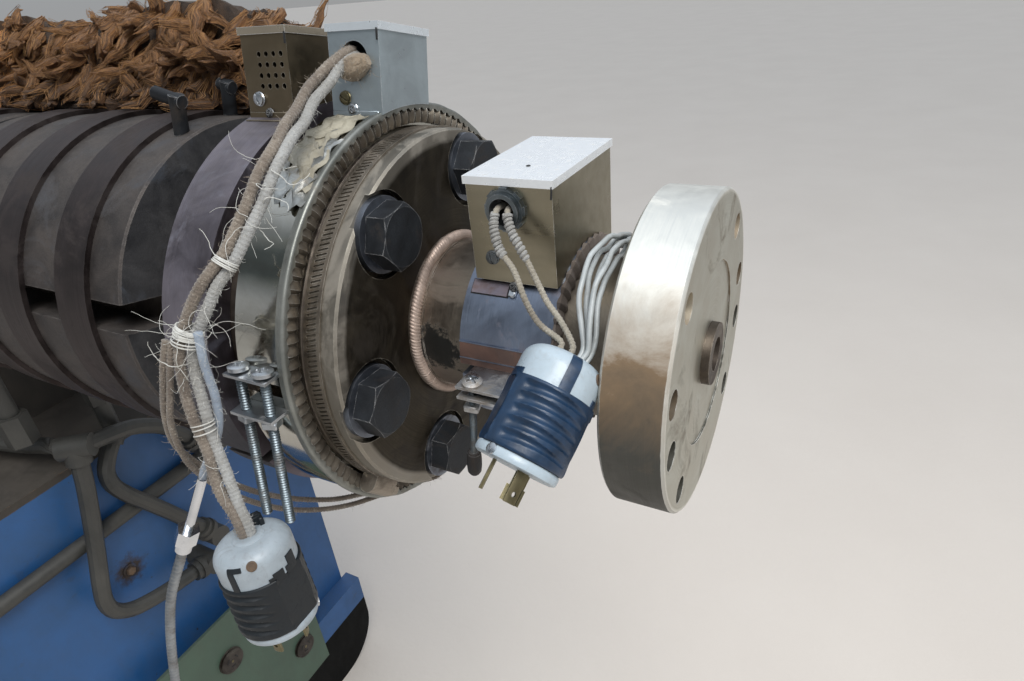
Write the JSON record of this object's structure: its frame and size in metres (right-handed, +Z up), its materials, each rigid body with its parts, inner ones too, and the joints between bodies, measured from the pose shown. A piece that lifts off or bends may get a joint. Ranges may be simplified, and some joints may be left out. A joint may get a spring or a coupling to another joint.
{
  "type": "plastic extruder barrel, discharge-end section on its base",
  "caption": "Discharge-end section of a single-screw plastic extruder: heated barrel, bolted head flanges, neck and end flange, with band heaters, leads and plugs, on a fabricated base.",
  "frame": {"origin": "on the floor, under the middle of the whole length and of the base's width", "axes": "+X along the barrel towards the end flange, +Y away from the side with the plugs, +Z up"},
  "size_m": [1.6404, 0.59, 1.2939],
  "materials": {
    "flange_gold": "zinc-plated steel, worn and stained",
    "flange_steel": "machined steel, heat stained brown",
    "bolt_steel": "black oxide with dry grease",
    "mirror_steel": "bright stainless sheet",
    "ceramic": "matt heater ceramic",
    "zinc": "bright zinc plate",
    "tinted_steel": "heat-tinted blue and purple",
    "tinted_brown": "heat-tinted brown",
    "box_steel": "plain zinc-coated sheet",
    "cast_grey": "rough cast aluminium bronze, oxidised",
    "strap_steel": "heat-tinted strap",
    "wool": "loose mineral wool",
    "blue_paint": "blue enamel, dusty",
    "grimy_steel": "plate under oil and dust",
    "black_steel": "black paint",
    "green_paint": "green paint, worn",
    "bakelite": "brown moulding",
    "pipe_paint": "dull grey-beige",
    "sleeving": "braided glass sleeve, browned",
    "white_wire": "white insulation",
    "armour": "coiled flexible armour",
    "chrome": "bright tube",
    "black_rubber": "ribbed black grip",
    "white_nylon": "white nylon",
    "brass": "tarnished brass"
  },
  "bodies": {
    "root": {"outlet_nipple": "flange_steel", "end_flange": "flange_gold", "adapter_neck": "flange_steel", "head_flange": "flange_steel", "head_bolts": "bolt_steel", "head_washers": "flange_steel", "adapter_ring": "flange_steel", "barrel_flange": "flange_steel", "clamp_band": "zinc", "head_heater": "mirror_steel", "head_heater_ceramic": "ceramic", "head_heater_ears": "zinc", "head_heater_rods": "zinc", "flange_heater": "tinted_brown", "neck_heater": "tinted_steel", "neck_heater_ceramic": "ceramic", "neck_heater_ears": "zinc", "neck_heater_screws": "zinc", "neck_box": "box_steel", "head_box": "box_steel", "flange_box": "box_steel", "box_covers": "box_steel", "conduit_nut": "zinc", "barrel": "flange_steel", "cast_heater_1": "cast_grey", "cast_heater_2": "cast_grey", "cast_heater_3": "cast_grey", "cast_heater_4": "cast_grey", "zone_straps": "strap_steel", "barrel_stubs": "bolt_steel", "rear_flange": "flange_steel", "barrel_supports": "blue_paint", "insulation_blanket": "wool", "base_top": "grimy_steel", "base_end_panels": "blue_paint", "base_side_panels": "blue_paint", "base_rails": "blue_paint", "skids": "black_steel", "outlet_panel": "green_paint", "outlets": "bakelite", "cross_pipe": "pipe_paint", "supply_pipe": "pipe_paint", "return_pipe": "pipe_paint", "header_pipe": "pipe_paint", "pipe_fittings": "pipe_paint", "zone_pipes": "pipe_paint", "probe_wire": "white_wire", "lead_bundle": "sleeving", "loop_leads": "sleeving", "box_leads": "sleeving", "white_leads": "white_wire", "probe": "chrome", "probe_lead": "armour", "plug_1_body": "black_rubber", "plug_1_cap": "white_nylon", "plug_1_blades": "brass", "plug_2_body": "black_rubber", "plug_2_cap": "white_nylon", "plug_2_blades": "brass"}
  },
  "joints": []
}
